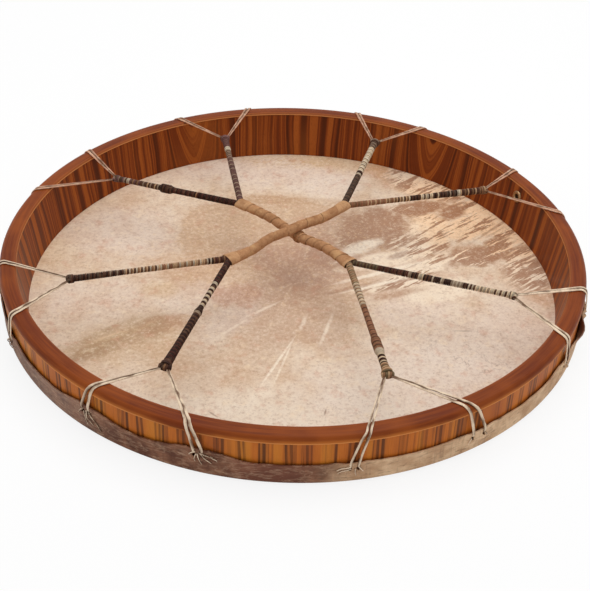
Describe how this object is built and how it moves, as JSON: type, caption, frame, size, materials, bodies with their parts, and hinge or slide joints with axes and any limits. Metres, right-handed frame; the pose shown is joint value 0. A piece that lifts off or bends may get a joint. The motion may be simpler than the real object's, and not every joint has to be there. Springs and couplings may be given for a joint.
{
  "type": "frame drum",
  "caption": "Large shallow frame drum: a bent wooden hoop with a rawhide skin on one side, laced to a leather-bound cross grip.",
  "frame": {"origin": "middle of the skin's outer face, on which the drum lies", "axes": "+Z from the skin to the open side with the lacing; +Y away from the viewer of the picture"},
  "size_m": [0.6003, 0.6, 0.0666],
  "materials": {
    "core_wood": "bare laminated wood, hidden",
    "cap_wood": "oiled red-brown hardwood",
    "inner_veneer": "satin striped veneer",
    "outer_veneer": "satin striped veneer",
    "rawhide": "dry mottled rawhide",
    "lace_hide": "dry rawhide strip",
    "dark_strips": "dark leather strip",
    "grip_leather": "tan suede",
    "eyelet_metal": "polished, slightly dulled"
  },
  "bodies": {
    "root": {"hoop_core": "core_wood", "rim_cap": "cap_wood", "inner_veneer": "inner_veneer", "outer_veneer": "outer_veneer", "drum_skin": "rawhide", "vent_eyelet_inside": "eyelet_metal", "vent_eyelet_outside": "eyelet_metal", "grip_core_over": "lace_hide", "grip_core_under": "lace_hide", "grip_winding_1": "grip_leather", "grip_winding_2": "grip_leather", "grip_winding_3": "grip_leather", "grip_winding_4": "grip_leather", "spoke_core_1": "lace_hide", "spoke_winding_1": "dark_strips", "hitch_1": "lace_hide", "lace_1a": "lace_hide", "lace_1b": "lace_hide", "spoke_core_2": "lace_hide", "spoke_winding_2": "dark_strips", "hitch_2": "lace_hide", "lace_2a": "lace_hide", "lace_2b": "lace_hide", "spoke_core_3": "lace_hide", "spoke_winding_3": "dark_strips", "hitch_3": "lace_hide", "lace_3a": "lace_hide", "lace_3b": "lace_hide", "spoke_core_4": "lace_hide", "spoke_winding_4": "dark_strips", "hitch_4": "lace_hide", "lace_4a": "lace_hide", "lace_4b": "lace_hide", "spoke_core_5": "lace_hide", "spoke_winding_5": "dark_strips", "hitch_5": "lace_hide", "lace_5a": "lace_hide", "lace_5b": "lace_hide", "spoke_core_6": "lace_hide", "spoke_winding_6": "dark_strips", "hitch_6": "lace_hide", "lace_6a": "lace_hide", "lace_6b": "lace_hide", "spoke_core_7": "lace_hide", "spoke_winding_7": "dark_strips", "hitch_7": "lace_hide", "lace_7a": "lace_hide", "lace_7b": "lace_hide", "spoke_core_8": "lace_hide", "spoke_winding_8": "dark_strips", "hitch_8": "lace_hide", "lace_8a": "lace_hide", "lace_8b": "lace_hide"}
  },
  "joints": []
}
